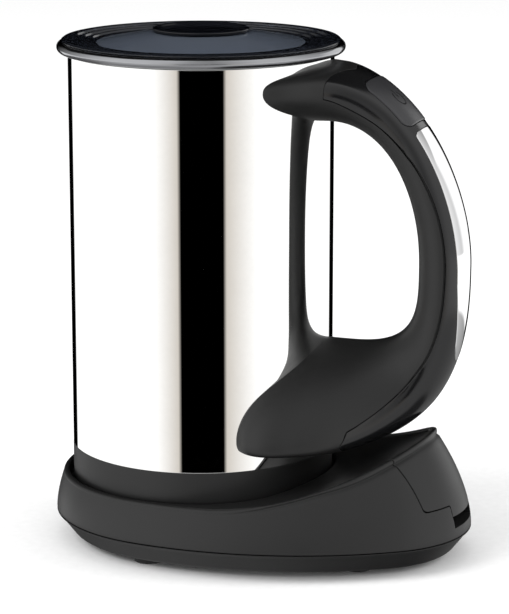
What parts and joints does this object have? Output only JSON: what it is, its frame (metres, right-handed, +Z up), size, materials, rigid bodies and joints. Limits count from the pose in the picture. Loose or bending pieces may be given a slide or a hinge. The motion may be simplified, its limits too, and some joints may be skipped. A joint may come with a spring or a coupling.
{
  "type": "milk frother",
  "caption": "Electric milk frother: mirror-polished jug with a looped black handle and a smoked lid, on an oval lift-off power base, with a magnetically driven whisk.",
  "frame": {"origin": "under the middle of the base's outline, on the surface it stands on", "axes": "+Z up, +X from the jug's axis towards the handle and the heel, +Y to the left of that"},
  "size_m": [0.1568, 0.1104, 0.1886],
  "materials": {
    "base_plastic": "fine-textured matte black moulding",
    "grip_plastic": "soft-touch matte black moulding",
    "spine_plastic": "semi-gloss black moulding",
    "button_plastic": "semi-gloss black cap with a printed power symbol",
    "strip_chrome": "bright chrome trim",
    "sleeve_steel": "mirror-polished stainless steel",
    "pot_steel": "satin stainless steel, polished bead",
    "lid_plastic": "smoked glossy plastic",
    "knob_plastic": "glossy black plastic",
    "rubber_black": "black rubber",
    "seal_silicone": "grey silicone",
    "screw_steel": "zinc-plated steel",
    "contact_brass": "brass contacts",
    "heater_aluminium": "die-cast aluminium",
    "motor_steel": "zinc-plated steel",
    "board_laminate": "green circuit board",
    "relay_plastic": "blue relay case",
    "component_black": "black component case",
    "magnet_nickel": "nickel-plated magnet",
    "drive_plastic": "natural acetal",
    "whisk_plastic": "black food-grade plastic",
    "coil_steel": "stainless spring wire"
  },
  "bodies": {
    "base": {"base_upper_shell": "base_plastic", "base_lower_shell": "base_plastic", "rear_cover": "base_plastic", "base_feet": "rubber_black", "base_screws": "screw_steel", "base_connector": "component_black", "contact_rings": "contact_brass", "contact_pin": "contact_brass", "cord_gland": "rubber_black"},
    "jug": {"outer_sleeve": "sleeve_steel", "inner_pot": "pot_steel", "skirt_ring": "base_plastic", "jug_floor": "base_plastic", "floor_screws": "screw_steel", "jug_socket": "component_black", "heater_plate": "heater_aluminium", "heating_element": "motor_steel", "thermostat": "component_black", "thermal_fuse": "drive_plastic", "motor_bracket": "motor_steel", "motor_can": "motor_steel", "control_board": "board_laminate", "board_relay": "relay_plastic", "board_capacitor": "component_black", "board_terminals": "drive_plastic", "spindle_pin": "screw_steel", "handle_grip": "grip_plastic", "handle_spine": "spine_plastic", "chrome_strip": "strip_chrome", "upper_bracket": "screw_steel", "lower_bracket": "screw_steel", "handle_screws": "screw_steel", "button_switch": "component_black", "button_board": "board_laminate"},
    "button": {"power_button": "button_plastic"},
    "lid": {"lid_dome": "lid_plastic", "lid_knob": "knob_plastic", "lid_seal": "seal_silicone"},
    "rotor": {"motor_shaft": "screw_steel", "drive_disc": "drive_plastic", "drive_magnets": "magnet_nickel"},
    "bush": {"whisk_bush": "drive_plastic"},
    "whisk": {"whisk_hub": "whisk_plastic", "whisk_magnets": "magnet_nickel", "whisk_coil": "coil_steel"}
  },
  "joints": [
    {"name": "jug_lift", "type": "slide", "parent": "base", "child": "jug", "axis": [0, 0, 1], "range_m": [0, 0.06]},
    {"name": "lid_lift", "type": "slide", "parent": "jug", "child": "lid", "axis": [0, 0, 1], "range_m": [0, 0.05]},
    {"name": "button_press", "type": "slide", "parent": "jug", "child": "button", "axis": [-0.6473, 0, -0.7623], "range_m": [0, 0.0011], "stiffness_N_per_m": 1500, "springref_m": -0.0005},
    {"name": "motor_spin", "type": "hinge", "parent": "jug", "child": "rotor", "pos_m": [-0.02385, 0, 0.07], "axis": [0, 0, 1], "continuous": true},
    {"name": "whisk_lift", "type": "slide", "parent": "jug", "child": "bush", "axis": [0, 0, 1], "range_m": [0, 0.06]},
    {"name": "whisk_spin", "type": "hinge", "parent": "bush", "child": "whisk", "pos_m": [-0.02385, 0, 0.09], "axis": [0, 0, 1], "continuous": true}
  ],
  "couplings": [
    {"joint": "whisk_spin", "follows": "motor_spin", "ratio": 1}
  ]
}
